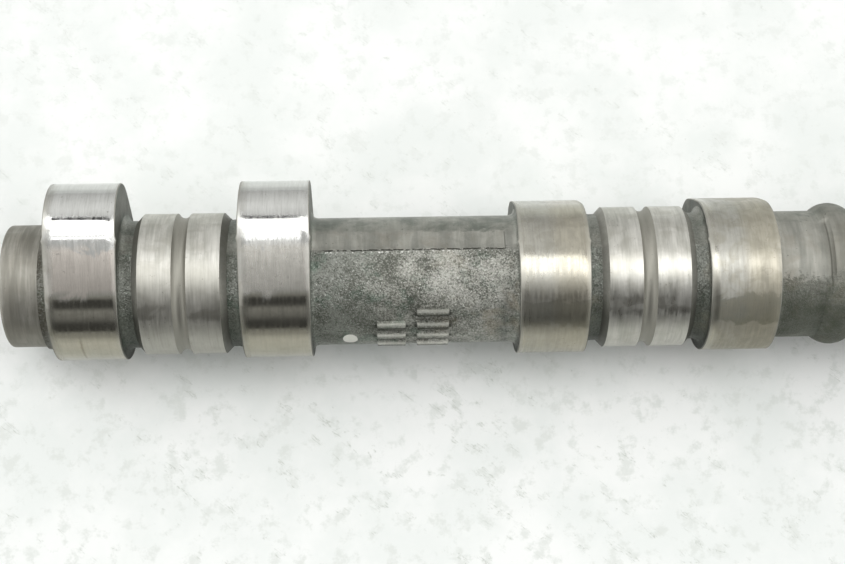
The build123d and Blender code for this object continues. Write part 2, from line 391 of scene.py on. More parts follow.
def filed_foot(x, r, cast):
    """The radius with the neck's foot at the cast ring filed down to a low step, beside the seam."""
    turn = np.degrees(ANGLES)
    filed = cast & (x > NECK[0]) & (x < RING_MIDDLE) & (r > CORE_RADIUS)
    filed = filed & (turn > FOOT_TURNS[0]) & (turn < FOOT_TURNS[1])
    step = CORE_RADIUS + FOOT_STEP * ramp(x, RING_MIDDLE - 2.5, RING_MIDDLE - 1.5)
    step = step + FOOT_STEP * ramp(np.abs(turn - FOOT_MIDDLE), *FOOT_FADE)
    return np.where(filed, np.minimum(r, step), r)


def edge_nick(x):
    """Depth of a small nick where the parting line meets the edge of the first lobe."""
    turn = np.degrees(ANGLES)
    return NICK_DEPTH * np.exp(-(((x - NICK_X) / NICK_WIDTH) ** 2) - ((turn - NICK_ANGLE) / NICK_TURN) ** 2)


def place_points(skin):
    """The rings with their relief, as an array of rings of points in millimetres."""
    x, r = np.array(skin.x), np.array(skin.r)
    zone = np.array(skin.zone)
    cast = (zone == "cast")[:, None]
    bar = (np.abs(r - CORE_RADIUS) < 0.01) & cast
    marked = x > STATIONS[0] + LOBE_REACH + MARKED_MARGIN
    marked = marked & (x < STATIONS[1] - LOBE_REACH - MARKED_MARGIN)
    neck = (x > NECK[0]) & (x < NECK[1])
    along_axis = np.stack([x, 0 * x, 0 * x], axis=-1).reshape(-1, 3)
    fins = np.where(neck, 0.0, seam_fins()) * (1 + lumps(along_axis, FIN_LUMPS).reshape(x.shape))
    r = r + np.where(bar & marked, raised_bars(x) - filed_flat(), 0.0) + np.where(bar, fins, 0.0)
    r = filed_foot(x, r, cast) - edge_nick(x) * (zone == "edge")[:, None]
    points = np.stack([x, r * np.cos(ANGLES), r * np.sin(ANGLES)], axis=-1)
    flat = points.reshape(-1, 3)
    cast = np.repeat(zone == "cast", COLUMNS)
    side = np.repeat(zone == "cast_side", COLUMNS)
    rough = np.tile(0.3 + 0.7 * sand_side(), len(x))
    out = flat * (0, 1, 1)
    out /= np.maximum(np.linalg.norm(out, axis=1, keepdims=True), 1e-6)
    lift = np.zeros(len(flat))
    lift[cast] = lumps(flat[cast], SAND_LUMPS) * rough[cast]
    slide = np.zeros(len(flat))
    slide[side] = lumps(flat[side], SIDE_LUMPS)
    flat = flat + out * lift[:, None] + np.array((1, 0, 0)) * slide[:, None]
    return flat.reshape(points.shape)


def shaft_mesh(skin):
    """One closed mesh from the rings, with a material index for each band."""
    points = place_points(skin)
    rows = len(points)
    zones = list(dict.fromkeys(skin.zone))
    corner = np.arange(rows * COLUMNS).reshape(rows, COLUMNS)
    after = np.roll(corner, -1, axis=1)
    quads = np.stack([corner[:-1], after[:-1], after[1:], corner[1:]], axis=-1).reshape(-1, 4)
    faces = quads.tolist() + [corner[0].tolist(), corner[-1][::-1].tolist()]
    mesh = bpy.data.meshes.new("camshaft_skin")
    mesh.from_pydata((points * MM).reshape(-1, 3).tolist(), [], faces)
    index = np.repeat([zones.index(z) for z in skin.zone[1:]], COLUMNS).tolist()
    index += [zones.index(skin.zone[0]), zones.index(skin.zone[-1])]
    mesh.polygons.foreach_set("material_index", index)
    mesh.polygons.foreach_set("use_smooth", [True] * len(index))
    add_guides(mesh, skin)
    mesh.update()
    return mesh, zones


# each lobe or journal in turn, from the rear end
LOBE_DULLNESS = (0.0, 0.05, 0.8, 1.2, 0.3, 0.2, 0.5, 0.35)
LOBE_PINK = (1.0, 0.2, 0.0, 0.0, 0.2, 0.5, 0.0, 0.1)
LOBE_WARMTH = (0.0, 0.0, 0.9, 0.8, 0.2, 0.0, 0.5, 0.1)
WARM_BORDER = (0.08, 0.16)
NECK_SMOOTH_END = 128.0
JOURNAL_DULLNESS = (1.0, 0.35, 0.5, 0.4)


def add_guides(mesh, skin):
    """Per-point guides for the finishes, such as the place across a lobe and the turn from its nose."""
    x = np.array(skin.x)
    middles = np.array([s + side * LOBE_OFFSET for s in STATIONS for side in (-1, 1)])
    nearest = np.abs(x[..., None] - middles).argmin(axis=-1)
    across = (x - middles[nearest]) / (LOBE_WIDTH / 2)
    noses = np.repeat(NOSE_ANGLES, 2)[nearest]
    from_nose = np.abs((np.degrees(ANGLES) - noses + 180) % 360 - 180)
    neck = (x > NECK[0]) & (x < NECK[1])
    smooth_end = np.where(neck, NECK_SMOOTH_END, PARTING_ANGLE)
    turn = (np.degrees(ANGLES) + 90) % 360 - 90
    filed = ramp(turn, smooth_end + 2.5, smooth_end) * ramp(turn, -75, -60)
    journal = np.abs(x[..., None] - np.array(STATIONS)).argmin(axis=-1)
    on_lobe = np.array([zone in ("ground_lobe", "cast_side") for zone in skin.zone])[:, None]
    from_station = np.abs(x - np.array(STATIONS)[journal])
    cast_gap = (from_station < LOBE_REACH) & (np.array(skin.zone) != "ground_lobe")[:, None]
    dull = np.where(on_lobe, np.array(LOBE_DULLNESS)[nearest], np.array(JOURNAL_DULLNESS)[journal])
    pink = np.where(on_lobe, np.array(LOBE_PINK)[nearest], 0.0)
    under = ramp(turn, 134, 146) * ramp(turn, 262, 240)
    # painted shade: darker towards the underside, in full in the neck and the gaps, at 0.55 of that
    # elsewhere
    shade_below = ramp(turn, 112, 140) * ramp(turn, 262, 235)
    gap = (from_station < LOBE_OFFSET) & ~on_lobe
    warm = np.where(on_lobe, np.array(LOBE_WARMTH)[nearest] * ramp(across, *WARM_BORDER), 0.0)
    guides = {
        "across": across,
        "from_nose": from_nose / 180,
        "filed": filed,
        "dull": dull,
        "pink": pink,
        "under": np.zeros(x.shape) + under,
        "warm": warm,
        "shade_below": shade_below * np.where(neck | gap, 1.0, 0.55),
        "neck": neck * 1.0,
        "gap": cast_gap * 1.0,
        "shoulder": (x < STATIONS[0] - LOBE_REACH) * 1.0,
        # painted shade low in the gaps between lobes and journals, on the lobes' sides too
        "deep": ramp(turn, 140, 185) * ramp(turn, 262, 245) * cast_gap,
        "toned": ramp(turn, 84, 96) * (journal == 0),
        "raised": raised_bars(x) / BAR_HEIGHT,
        "bar_side": bar_sides(x),
        "bay": sum(ramp(np.abs(x - (a + b) / 2), 17.6, 17.0) for a, b in (STATIONS[:2], STATIONS[2:])),
    }
    for name, values in guides.items():
        guide = mesh.attributes.new(name, "FLOAT", "POINT")
        guide.data.foreach_set("value", np.ascontiguousarray(values, dtype=np.float32).ravel())


# ---- node helpers ----
def put(tree, kind, settings=None, **inputs):
    """Adds a node; inputs are given by name, with _ for a space, or as in_0, in_1 by number."""
    added = tree.nodes.new(kind)
    for name, value in (settings or {}).items():
        setattr(added, name, value)
    for name, value in inputs.items():
        socket = added.inputs[int(name[3:]) if name.startswith("in_") else name.replace("_", " ")]
        if isinstance(value, bpy.types.NodeSocket):
            tree.links.new(value, socket)
        else:
            socket.default_value = value
    return added


def tree_of(*values):
    """The node tree that these sockets are in."""
    return next(value.id_data for value in values if isinstance(value, bpy.types.NodeSocket))


def calc(operation, *values, clamp=False):
    """One sum on masks and numbers."""
    settings = {"operation": operation, "use_clamp": clamp}
    inputs = {f"in_{i}": value for i, value in enumerate(values)}
    return put(tree_of(*values), "ShaderNodeMath", settings, **inputs).outputs[0]


def times(product, *factors):
    """The product of masks and numbers."""
    for factor in factors:
        product = calc("MULTIPLY", product, factor)
    return product


def linear(value, slope, start):
    """The value times a slope, added to a start."""
    return calc("MULTIPLY_ADD", value, slope, start)


def wobble(value, by, reach):
    """The value moved to and fro by noise, half the reach each way."""
    return linear(calc("SUBTRACT", by, 0.5), reach, value)


def step_up(value, low, high, to_low=0.0, to_high=1.0):
    """A smooth step: to_low below low, to_high above high."""
    ends = {"From_Min": low, "From_Max": high, "To_Min": to_low, "To_Max": to_high}
    tree = tree_of(value, low, high)
    settings = {"interpolation_type": "SMOOTHSTEP"}
    return put(tree, "ShaderNodeMapRange", settings, Value=value, **ends).outputs["Result"]


def blend(share, first, second):
    """Mixes two colours by a mask."""
    tree = tree_of(share, first, second)
    node = tree.nodes.new("ShaderNodeMix")
    node.data_type = "RGBA"
    for socket, value in zip((node.inputs[0], node.inputs[6], node.inputs[7]), (share, first, second)):
        if isinstance(value, bpy.types.NodeSocket):
            tree.links.new(value, socket)
        else:
            socket.default_value = (*value, 1) if isinstance(value, tuple) else value
    return node.outputs[2]


def tint(colour, over, *shares):
    """The colour with another laid over it, as far as the product of the shares."""
    return blend(times(*shares), colour, over)


def noise_at(vector, scale, detail=2.0, roughness=0.55, distortion=0.0):
    """Soft noise between 0 and 1, in lumps per millimetre."""
    kind = {"Detail": detail, "Roughness": roughness, "Distortion": distortion}
    return put(vector.id_data, "ShaderNodeTexNoise", Vector=vector, Scale=scale, **kind).outputs["Fac"]


def guide(tree, name):
    return put(tree, "ShaderNodeAttribute", {"attribute_name": name}).outputs["Fac"]


def vector_calc(operation, *vectors, output="Vector"):
    """One sum on points, such as a shift, a stretch or a length."""
    inputs = {f"in_{i}": vector for i, vector in enumerate(vectors)}
    node = put(tree_of(*vectors), "ShaderNodeVectorMath", {"operation": operation}, **inputs)
    return node.outputs[output]


def axes_of(place):
    """The parts of a point along X, Y and Z."""
    return put(place.id_data, "ShaderNodeSeparateXYZ", Vector=place).outputs


def object_place(tree, stretch=(1.0, 1.0, 1.0)):
    """The point on the piece, in millimetres, squeezed or stretched by axis."""
    place = put(tree, "ShaderNodeTexCoord").outputs["Object"]
    scale = tuple(s / MM for s in stretch)
    return vector_calc("MULTIPLY", place, scale)


def turn_here(place):
    """The turn about the axis at a point, in degrees from +Y towards +Z, cut open along the underside."""
    axes = axes_of(place)
    return linear(calc("ARCTAN2", axes["Y"], axes["Z"]), -180 / math.pi, 90.0)


def within(value, low, high, soft):
    """One between low and high, falling smoothly to nothing outside."""
    rise = step_up(value, low - soft, low + soft)
    return times(rise, step_up(value, high + soft, high - soft))


FLOAT = "NodeSocketFloat"


def new_group(name, inputs, outputs):
    """An empty shader group of numbers and masks; inputs are (name, default) pairs, outputs are names."""
    group = bpy.data.node_groups.new(name, "ShaderNodeTree")
    for label, default in inputs:
        socket = group.interface.new_socket(label, in_out="INPUT", socket_type=FLOAT)
        socket.default_value = default
    for label in outputs:
        group.interface.new_socket(label, in_out="OUTPUT", socket_type=FLOAT)
    return group, group.nodes.new("NodeGroupInput"), group.nodes.new("NodeGroupOutput")


def give_out(group, gives, **values):
    """Ends a group: each value goes to the output of its name."""
    for name, value in values.items():
        group.links.new(value, gives.inputs[name])


def place_group(tree, group, **inputs):
    """A shared effect with its own settings; gives its outputs."""
    placed = put(tree, "ShaderNodeGroup", {"node_tree": group})
    for name, value in inputs.items():
        placed.inputs[name.replace("_", " ")].default_value = value
    return placed.outputs


# ---- shared effects ----
def grinding_lines_group():
    """Lines that a wheel or a tool leaves round the axis: fine ones, coarser streaks and soft packets."""
    group, given, gives = new_group(
        "grinding_lines",
        [("Lines per mm", 3.0), ("Packet size", 2.0)],
        ("Lines", "Streaks", "Packets", "Bands"),
    )
    fine = noise_at(object_place(group, (1.0, 0.05, 0.05)), given.outputs["Lines per mm"], 3.0, 0.75)
    coarse = times(given.outputs["Lines per mm"], 0.5)
    streaks = noise_at(object_place(group, (1.0, 0.09, 0.09)), coarse, 2.0, 0.6)
    per_packet = calc("DIVIDE", 1.0, given.outputs["Packet size"])
    packets = noise_at(object_place(group, (1.0, 0.16, 0.16)), per_packet, 4.0, 0.62)
    streaks, bands = step_up(streaks, 0.38, 0.62), step_up(packets, 0.35, 0.65)
    give_out(group, gives, Lines=fine, Streaks=streaks, Packets=packets, Bands=bands)
    return group


def cast_grain_group():
    """Grain of sand-cast iron: grains light and dark, glints, soft patches, two tints and a height."""
    group, given, gives = new_group(
        "cast_grain",
        [("Grain per mm", 3.2), ("Patch size", 7.0), ("Contrast", 0.14)],
        ("Grains", "Glints", "Patches", "Green", "Brown", "Height"),
    )
    place = object_place(group)
    per_patch = calc("DIVIDE", 1.0, given.outputs["Patch size"])
    grain = noise_at(place, given.outputs["Grain per mm"], 2.0, 0.8)
    coarse = noise_at(place, times(given.outputs["Grain per mm"], 0.4), 2.0, 0.6)
    mixed = linear(coarse, 0.25, times(grain, 0.75))
    patches = noise_at(place, per_patch, 5.0, 0.6, 0.3)
    middle = linear(patches, -0.56, 0.78)
    low = calc("SUBTRACT", middle, given.outputs["Contrast"])
    high = calc("ADD", middle, given.outputs["Contrast"])
    shifted = vector_calc("ADD", place, (31.0, 17.0, 5.0))
    green = noise_at(shifted, times(per_patch, 1.3), 4.0, 0.65)
    brown = noise_at(shifted, times(per_patch, 0.9), 5.0, 0.65, 0.4)
    grains, glints = step_up(mixed, low, high), step_up(grain, 0.64, 0.72)
    green, brown = step_up(green, 0.5, 0.66), step_up(brown, 0.48, 0.64)
    give_out(
        group, gives, Grains=grains, Glints=glints, Patches=patches, Green=green, Brown=brown, Height=mixed
    )
    return group


def oil_film_group():
    """Thin dried oil: a mask with cloudy borders, its varying tone, the rims of old drops and specks."""
    group, given, gives = new_group(
        "oil_film",
        [("Cover", 0.5), ("Border", 0.12), ("Cloud size", 3.5)],
        ("Film", "Clouds", "Tone", "Rims", "Specks"),
    )
    per_cloud = calc("DIVIDE", 1.0, given.outputs["Cloud size"])
    clouds = noise_at(object_place(group, (0.8, 1.0, 1.0)), per_cloud, 5.0, 0.6, 0.8)
    middle = calc("SUBTRACT", 1.0, given.outputs["Cover"])
    low, high = (calc(side, middle, given.outputs["Border"]) for side in ("SUBTRACT", "ADD"))
    film = step_up(clouds, low, high)
    tone = noise_at(object_place(group, (0.6, 1.0, 1.0)), 1.1, 4.0, 0.65)
    drops = noise_at(object_place(group, (1.0, 0.8, 0.8)), 0.34, 2.0, 0.5, 1.2)
    rims = step_up(calc("ABSOLUTE", calc("SUBTRACT", drops, 0.56)), 0.012, 0.004)
    specks = step_up(noise_at(object_place(group), 1.7, 1.0, 0.5), 0.735, 0.765)
    clouds = step_up(clouds, 0.3, 0.7)
    give_out(group, gives, Film=film, Clouds=clouds, Tone=tone, Rims=rims, Specks=specks)
    return group


GRINDING_LINES = grinding_lines_group()
CAST_GRAIN = cast_grain_group()
OIL_FILM = oil_film_group()


# ---- finishes ----
PAINT_ANGLE = math.radians(170)
PAINT_DAB = (31.4, CORE_RADIUS * math.cos(PAINT_ANGLE), CORE_RADIUS * math.sin(PAINT_ANGLE))
PAINT_REACH = (1.45, 2.1, 2.1)
BRIGHT_FROM, BRIGHT_TO = (28.0, 46.0), (66.0, 60.0)
STRIP_END = 60.7
RING_CREASE = RING_MIDDLE - 2.5
OIL_RUN = -18.35
DEEP_SHADE = (0.02, 0.023, 0.017)
FILED_SHADE = (0.13, 0.127, 0.105)


def plain_material(name, metallic=1.0):
    """A new material with its node tree and its shader."""
    material = bpy.data.materials.new(name)
    material.use_nodes = True
    tree = material.node_tree
    shader = tree.nodes["Principled BSDF"]
    shader.inputs["Metallic"].default_value = metallic
    return material, tree, shader


def guides_of(tree, *names):
    return (guide(tree, name) for name in names)


def finished(finish, name, metallic):
    """A material from a finish, which gives colour, roughness, height, depth in mm and strength."""
    material, tree, shader = plain_material(name, metallic)
    colour, roughness, height, depth, strength = finish(tree)
    tree.links.new(colour, shader.inputs["Base Color"])
    tree.links.new(roughness, shader.inputs["Roughness"])
    if height is not None:
        bump = put(tree, "ShaderNodeBump", Strength=strength, Distance=depth * MM, Height=height)
        tree.links.new(bump.outputs["Normal"], shader.inputs["Normal"])
    return material


def cast_skin(tree):
    """The bar and its feet: sand grain on one half, filed and smoother on the other, one dab of paint."""
    place = object_place(tree)
    turn = turn_here(place)
    along = axes_of(place)["X"]
    grain = place_group(tree, CAST_GRAIN, Grain_per_mm=2.9, Patch_size=6.0, Contrast=0.16)
    coarse = place_group(tree, CAST_GRAIN, Grain_per_mm=1.3, Patch_size=4.0, Contrast=0.2)
    lines = place_group(tree, GRINDING_LINES, Lines_per_mm=2.4, Packet_size=2.5)
    film = place_group(tree, OIL_FILM, Cover=0.5, Border=0.14, Cloud_size=6.0)
    filed, raised, neck, shade_below, gap, bay = guides_of(tree, "filed", "raised", "neck", "shade_below", "gap", "bay")
    lit = times(step_up(along, *BRIGHT_FROM), step_up(along, *BRIGHT_TO))
    greener = times(grain["Green"], step_up(along, 52.0, 36.0, 0.45, 1.0))
    browner = times(grain["Brown"], step_up(along, 40.0, 56.0, 0.1, 1.0))
    browner = times(browner, step_up(turn, 95.0, 130.0, 0.5, 1.0))
    dark = blend(greener, (0.095, 0.099, 0.083), (0.05, 0.075, 0.056))
    dark = tint(dark, (0.13, 0.118, 0.088), browner)
    light = blend(lit, (0.27, 0.28, 0.252), (0.43, 0.43, 0.39))
    light = tint(light, (0.17, 0.215, 0.175), greener, 0.6)
    light = tint(light, (0.32, 0.295, 0.235), browner, 0.6)
    grained = blend(grain["Grains"], dark, light)
    grained = tint(grained, (0.75, 0.76, 0.72), grain["Glints"], grain["Patches"])
    lumpy = blend(coarse["Grains"], (0.13, 0.132, 0.11), (0.25, 0.25, 0.22))
    lumpy = tint(lumpy, (0.095, 0.108, 0.075), coarse["Green"], 0.6)
    grained = tint(grained, lumpy, neck, 0.55)
    grained = tint(grained, (0.07, 0.068, 0.05), neck, 0.1)
    unlit = linear(lit, -0.75, 1.0)
    # painted shade on the underside, weaker in the lit stretch of the bar
    grained = tint(grained, (0.055, 0.066, 0.045), shade_below, unlit, 0.5)
    # painted light and shade on the raised bars: lighter tops and up-turned flanks, darker down-turned
    # flanks
    bar_side = guide(tree, "bar_side")
    shaded = step_up(bar_side, 0.1, 0.9)
    lit_flank = times(step_up(bar_side, -0.1, -0.9), step_up(raised, 0.3, 0.9))
    grained = tint(grained, (0.36, 0.36, 0.32), step_up(raised, 0.7, 0.95), 0.2)
    grained = tint(grained, (0.55, 0.55, 0.5), lit_flank, 0.6)
    grained = tint(grained, (0.03, 0.032, 0.024), shaded, 0.8)
    # filed half: a smooth strip beside the parting line, a stained zone above it
    cloudy = wobble(turn, film["Tone"], 14.0)
    strip = calc("MAXIMUM", within(cloudy, 56.5, 90.0, 1.2), times(neck, within(cloudy, 49.0, 130.0, 4.0)))
    stained = blend(step_up(grain["Patches"], 0.36, 0.6), (0.17, 0.185, 0.162), (0.325, 0.325, 0.29))
    clean = blend(lines["Bands"], (0.275, 0.277, 0.25), (0.41, 0.405, 0.365))
    clean = tint(clean, (0.26, 0.235, 0.19), grain["Brown"], 0.4)
    smooth = blend(strip, stained, clean)
    smooth = tint(smooth, (0.12, 0.12, 0.1), lines["Streaks"], 0.16)
    smooth = tint(smooth, (0.14, 0.145, 0.12), calc("SUBTRACT", film["Clouds"], 0.5, clamp=True), 0.5)
    # painted shade on the smooth strip in the gaps between lobes and journals
    smooth = tint(smooth, (0.12, 0.13, 0.108), gap, 0.15)
    facing = times(neck, within(turn, 80.0, 106.0, 8.0))
    smooth = tint(smooth, FILED_SHADE, facing, 0.2)
    on_ring = times(neck, step_up(along, RING_MIDDLE - 3.5, RING_MIDDLE - 2.5))
    smooth = tint(smooth, FILED_SHADE, on_ring, 0.35)
    smooth = tint(smooth, (0.08, 0.08, 0.07), film["Specks"], 0.5)
    # in the neck the filing ends in a ragged border
    ragged = wobble(turn, coarse["Height"], 44.0)
    ragged = wobble(ragged, grain["Patches"], 30.0)
    filed = times(filed, linear(gap, -0.45, 1.0))
    ragged_from = linear(neck, -66.0, 180.0)
    ragged_to = linear(neck, -72.0, 174.0)
    filed = calc("MINIMUM", filed, step_up(ragged, ragged_from, ragged_to))
    colour = blend(times(filed, 0.92), grained, smooth)
    # painted shade in the gaps between lobes and journals: strong low down, slight over the whole gap
    colour = tint(colour, DEEP_SHADE, guide(tree, "deep"), 0.7)
    colour = tint(colour, (0.04, 0.052, 0.04), gap, 0.12)
    shaded_end = times(step_up(along, 57.5, 63.0), step_up(turn, 92.0, 125.0))
    shaded_end = times(shaded_end, bay, step_up(along, 70.0, 65.0))
    colour = tint(colour, (0.028, 0.036, 0.033), shaded_end, 0.6)
    # painted shade, brownish and broken up by the grain, on the cast shoulder between the stub and the
    # first lobe
    shoulder_shade = linear(grain["Grains"], -0.35, 0.8)
    colour = tint(colour, (0.058, 0.05, 0.036), guide(tree, "shoulder"), shoulder_shade)
    # the parting line, dark and broken, with the strip's end mark
    dashes = step_up(noise_at(place, 1.6, 2.0, 0.6), 0.36, 0.5)
    seam_at = wobble(turn, noise_at(place, 0.9, 3.0, 0.6), 2.6)
    seam = times(within(seam_at, PARTING_ANGLE + 0.2, PARTING_ANGLE + 1.3, 0.4), dashes, bay)
    colour = tint(colour, (0.03, 0.03, 0.024), seam, 0.9)
    # painted shade along the crease at the foot of the ring
    crease_shade = times(
        within(along, RING_CREASE - 0.12, RING_CREASE + 0.12, 0.1), within(turn, 52.0, 118.0, 9.0)
    )
    colour = tint(colour, (0.05, 0.05, 0.04), crease_shade, 0.6)
    end_mark = times(within(along, STRIP_END - 0.1, STRIP_END + 0.1, 0.1), within(turn, 58.0, 78.0, 1.0))
    colour = tint(colour, (0.06, 0.06, 0.05), end_mark, 0.6)
    glint_line = times(
        within(seam_at, PARTING_ANGLE + 2.0, PARTING_ANGLE + 2.9, 0.5),
        step_up(noise_at(place, 2.2, 1.0), 0.58, 0.66),
    )
    colour = tint(colour, (0.8, 0.8, 0.76), glint_line, bay, 0.8)
    spot = vector_calc("DIVIDE", vector_calc("SUBTRACT", place, PAINT_DAB), PAINT_REACH)
    spot = vector_calc("LENGTH", spot, output="Value")
    spot = linear(grain["Patches"], 0.4, spot)
    spot = linear(grain["Height"], 0.25, spot)
    paint = step_up(spot, 1.33, 1.22)
    colour = tint(colour, (0.66, 0.66, 0.6), paint)
    roughness = linear(grain["Patches"], -0.25, 0.6)
    roughness = linear(filed, -0.06, roughness)
    roughness = linear(neck, 0.14, roughness)
    keep = linear(filed, -0.88, 1.0)
    relief = times(grain["Height"], keep)
    relief = linear(lines["Lines"], times(filed, 0.1), relief)
    relief = linear(seam, -0.4, relief)
    metallic = tree.nodes["Principled BSDF"].inputs["Metallic"]
    tree.links.new(linear(paint, -0.85, 0.85), metallic)
    return colour, roughness, relief, 0.35, 0.9


def cast_side(tree):
    """The lobes' unmachined sides: darker, oily and softly mottled, with painted shade low down."""
    grain = place_group(tree, CAST_GRAIN, Grain_per_mm=2.0, Patch_size=4.0, Contrast=0.25)
    dark = blend(grain["Green"], (0.085, 0.086, 0.07), (0.048, 0.064, 0.049))
    colour = blend(times(grain["Grains"], 0.4), dark, (0.165, 0.17, 0.15))
    colour = tint(colour, DEEP_SHADE, guide(tree, "deep"), 0.6)
    place = object_place(tree)
    seam_at = wobble(turn_here(place), noise_at(place, 0.8, 3.0, 0.6), 4.0)
    seam = within(seam_at, PARTING_ANGLE, PARTING_ANGLE + 1.2, 0.5)
    colour = tint(colour, (0.02, 0.022, 0.018), seam, 0.7)
    roughness = linear(grain["Patches"], -0.2, 0.6)
    return colour, roughness, grain["Height"], 0.25, 0.6


def worn_track(colour, lines, film, fine, soft):
    """Adds fine lines, soft streaks and clouds and a few specks to a ground track's colour."""
    shade = calc("MULTIPLY_ADD", calc("SUBTRACT", lines["Lines"], 0.5), -2.4, 0.12, clamp=True)
    colour = tint(colour, (0.12, 0.115, 0.1), shade, fine)
    mottle = linear(lines["Streaks"], 0.4, times(film["Clouds"], 0.6))
    colour = tint(colour, (0.2, 0.195, 0.17), mottle, soft)
    return blend(times(film["Specks"], 0.3), colour, (0.1, 0.09, 0.07))


def ground_lobe(tree):
    """Ground cam track: bright and sharp on the nose, under thin dried oil on flanks and base circle."""
    across, from_nose, dull, warm = guides_of(tree, "across", "from_nose", "dull", "warm")
    lines = place_group(tree, GRINDING_LINES, Lines_per_mm=3.2, Packet_size=2.4)
    film = place_group(tree, OIL_FILM, Cover=0.6, Border=0.1, Cloud_size=5.0)
    clouds = times(calc("SUBTRACT", film["Film"], 0.5), 0.04)
    off_nose = step_up(calc("ADD", from_nose, clouds), 0.2, 0.235)
    on_base = step_up(calc("ADD", from_nose, clouds), 0.37, 0.41)
    on_flank = calc("SUBTRACT", off_nose, on_base, clamp=True)
    margin = step_up(calc("ABSOLUTE", across), 0.83, 0.93)
    clean = blend(lines["Packets"], (0.68, 0.685, 0.665), (0.78, 0.785, 0.77))
    flank = blend(film["Tone"], (0.6, 0.59, 0.545), (0.86, 0.845, 0.785))
    flank = tint(flank, (0.77, 0.7, 0.64), guide(tree, "pink"), 0.7)
    base = blend(film["Tone"], (0.44, 0.425, 0.36), (0.64, 0.62, 0.54))
    colour = blend(on_flank, clean, flank)
    colour = tint(colour, base, on_base)
    dulled = blend(warm, (0.46, 0.458, 0.43), (0.47, 0.43, 0.335))
    colour = tint(colour, dulled, dull, 0.6)
    below = times(guide(tree, "under"), linear(film["Tone"], 0.6, 0.35))
    colour = tint(colour, (0.33, 0.305, 0.235), below)
    rims = times(film["Rims"], off_nose, linear(dull, 0.13, 0.05))
    colour = tint(colour, (0.2, 0.17, 0.11), rims)
    colour = tint(colour, (0.5, 0.5, 0.47), margin, 0.25)
    place = object_place(tree)
    turn = turn_here(place)
    # a dark olive band low on the dull lobes: partly an oil stain, partly a painted dark reflection
    stain_and_dark_reflection = within(linear(film["Clouds"], 9.0, turn), 126.0, 148.0, 1.6)
    colour = tint(colour, (0.11, 0.115, 0.07), stain_and_dark_reflection, dull, 0.42)
    blotches = noise_at(place, 0.3, 4.0, 0.55, 0.6)
    tinted = times(step_up(blotches, 0.42, 0.6), dull, 0.36)
    colour = tint(colour, (0.34, 0.32, 0.25), tinted)
    fine, soft = linear(dull, -0.1, 0.24), linear(dull, 0.2, 0.18)
    colour = worn_track(colour, lines, film, fine, soft)
    # one dried run of oil low down on the first lobe
    run = linear(film["Tone"], 0.6, axes_of(place)["X"])
    run = times(within(run, OIL_RUN - 0.15, OIL_RUN + 0.15, 0.25), within(turn, 150.0, 182.0, 6.0))
    colour = tint(colour, (0.12, 0.09, 0.05), run, 0.6)
    roughness = linear(lines["Streaks"], 0.07, 0.06)
    roughness = linear(on_flank, 0.14, roughness)
    roughness = linear(on_base, times(lines["Packets"], 0.08), roughness)
    roughness = linear(dull, step_up(turn, 94.0, 108.0, 0.1, 0.24), roughness)
    roughness = linear(calc("SUBTRACT", dull, 0.9, clamp=True), 0.5, roughness)
    roughness = linear(margin, 0.16, roughness)
    return colour, roughness, lines["Lines"], 0.03, 0.4


def ground_journal(tree):
    """Ground bearing track: satin, with packets of fine lines round it and worn patches, darkened as a
    painted reflection.
    """
    dull = guide(tree, "dull")
    turn = turn_here(object_place(tree))
    lines = place_group(tree, GRINDING_LINES, Lines_per_mm=2.8, Packet_size=1.8)
    film = place_group(tree, OIL_FILM, Cover=0.45, Border=0.1, Cloud_size=4.0)
    clean = blend(lines["Bands"], (0.52, 0.515, 0.47), (0.68, 0.67, 0.625))
    colour = blend(times(film["Film"], 0.35), clean, (0.45, 0.435, 0.375))
    # a patch the bearing cap has polished, with streaky ends; it is smoother, and its colour is darkened as
    # a painted dark reflection
    ends = wobble(turn, lines["Lines"], 22.0)
    polished = within(ends, 122.0, 136.0, 2.5)
    polish_and_dark_reflection = times(polished, step_up(film["Clouds"], 0.3, 0.7, 0.35, 1.0))
    colour = tint(colour, (0.2, 0.19, 0.155), polish_and_dark_reflection, 0.4)
    colour = tint(colour, (0.36, 0.35, 0.305), guide(tree, "under"), 0.4)
    colour = tint(colour, (0.36, 0.35, 0.31), guide(tree, "toned"), 0.5)
    colour = worn_track(colour, lines, film, 0.4, 0.2)
    roughness = linear(lines["Packets"], 0.26, 0.14)
    roughness = linear(lines["Lines"], 0.1, roughness)
    roughness = linear(dull, 0.12, roughness)
    roughness = linear(polish_and_dark_reflection, -0.08, roughness)
    return colour, roughness, lines["Lines"], 0.04, 0.45


def worn_edge(tree):
    """The broken edges of lobes and journals: dull, and darker on the underside with painted shade."""
    film = place_group(tree, OIL_FILM, Cover=0.45, Border=0.1, Cloud_size=4.0)
    colour = blend(film["Tone"], (0.19, 0.188, 0.163), (0.33, 0.325, 0.29))
    # painted shade on the underside of the edges
    colour = tint(colour, (0.05, 0.052, 0.04), guide(tree, "shade_below"), 0.75)
    roughness = linear(film["Clouds"], 0.15, 0.42)
    return colour, roughness, None, 0.0, 0.0


def groove_floor(tree):
    """The floor of the journals' oil grooves: matt, turned and not ground."""
    lines = place_group(tree, GRINDING_LINES, Lines_per_mm=2.5, Packet_size=2.0)
    film = place_group(tree, OIL_FILM, Cover=0.45, Border=0.1, Cloud_size=4.0)
    colour = blend(lines["Packets"], (0.28, 0.275, 0.24), (0.36, 0.35, 0.31))
    colour = worn_track(colour, lines, film, 0.25, 0.1)
    roughness = linear(lines["Lines"], 0.15, 0.46)
    return colour, roughness, lines["Lines"], 0.03, 0.3


